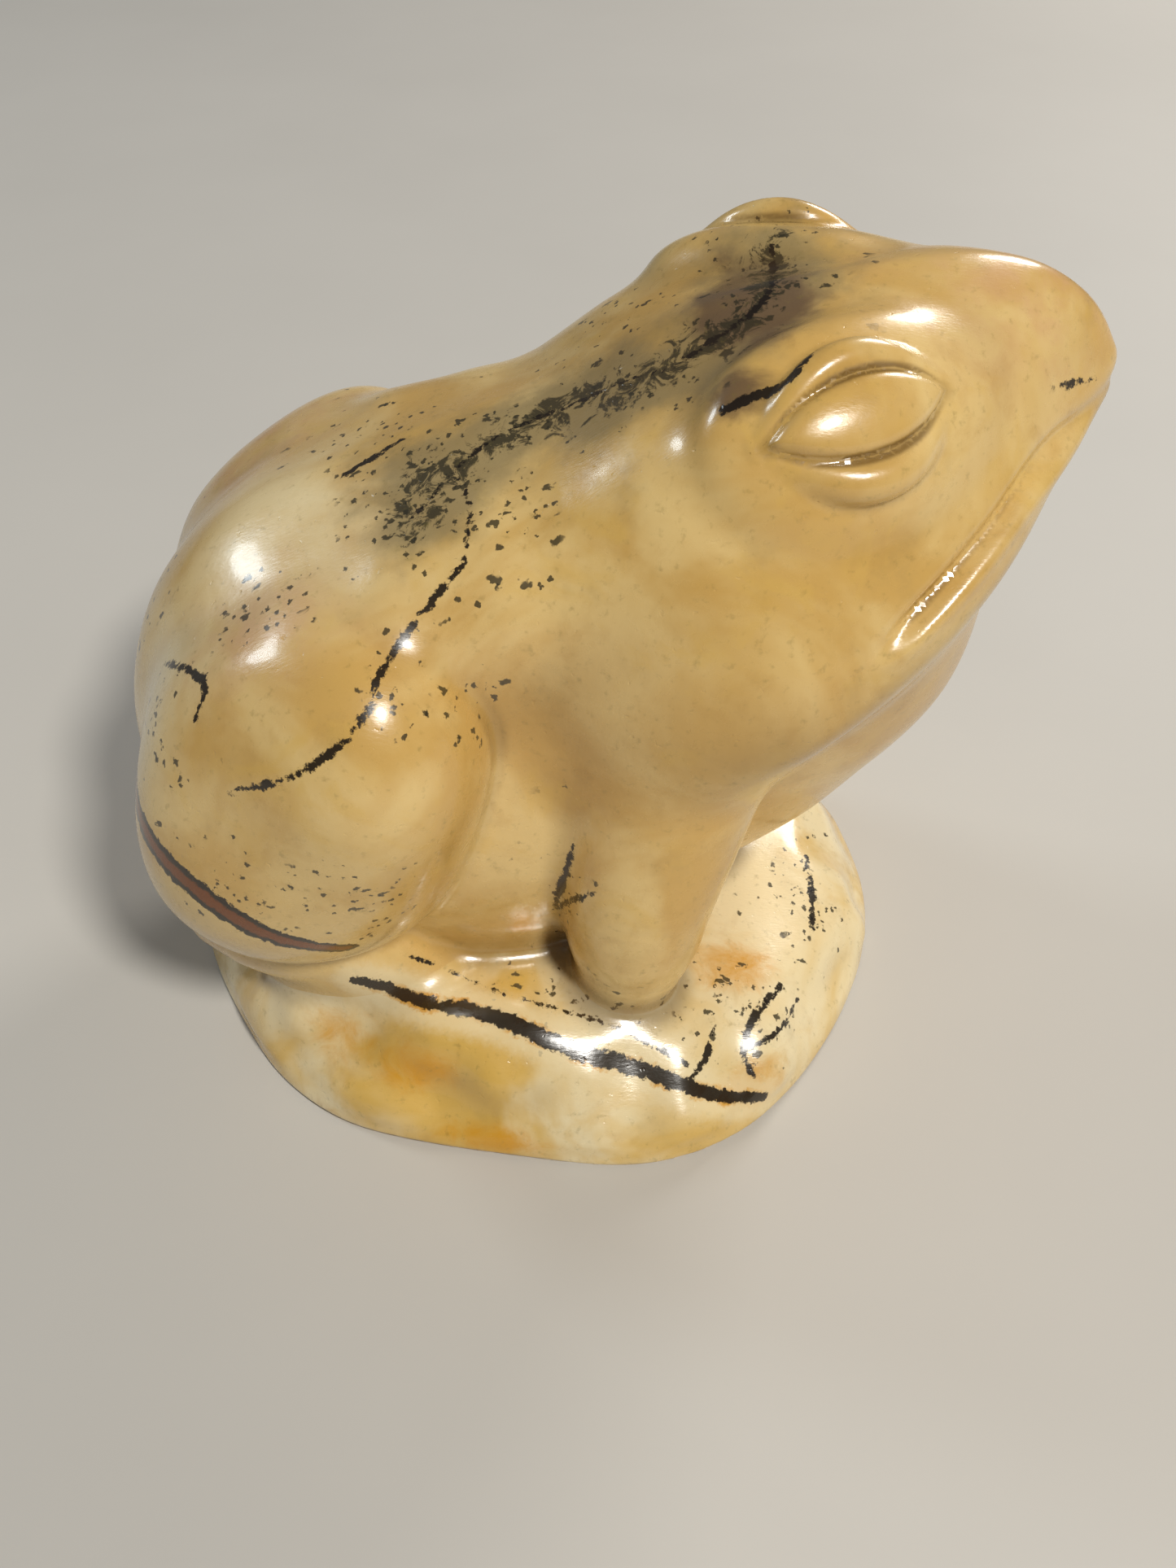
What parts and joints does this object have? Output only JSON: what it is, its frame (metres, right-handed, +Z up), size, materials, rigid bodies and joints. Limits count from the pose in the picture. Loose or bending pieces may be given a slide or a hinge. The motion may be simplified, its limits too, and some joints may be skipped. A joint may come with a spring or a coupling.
{
  "type": "carved stone frog figurine",
  "caption": "Polished cream stone frog sitting upright on a low rounded rock base, carved in one piece with dark dendritic veins.",
  "frame": {"origin": "centre of the flat underside of the base", "axes": "+X the way the frog faces, +Y its left side, +Z up"},
  "size_m": [0.0968, 0.075, 0.0784],
  "materials": {
    "body_stone": "hand-polished opaque cream and tan stone with smoky and olive mottling, dark dendrites and a waxy gloss",
    "base_stone": "polished pale stone with orange iron stains and dark dendrites",
    "vein": "black-brown iron and manganese vein, polished flush with the stone"
  },
  "bodies": {
    "root": {"base": "base_stone", "base_vein": "vein", "torso": "body_stone", "head": "body_stone", "lower_jaw": "body_stone", "right_eye": "body_stone", "left_eye": "body_stone", "right_eyelids": "body_stone", "left_eyelids": "body_stone", "right_haunch": "body_stone", "left_haunch": "body_stone", "haunch_vein": "vein", "right_hind_foot": "body_stone", "left_hind_foot": "body_stone", "right_foreleg": "body_stone", "left_foreleg": "body_stone"}
  },
  "joints": []
}
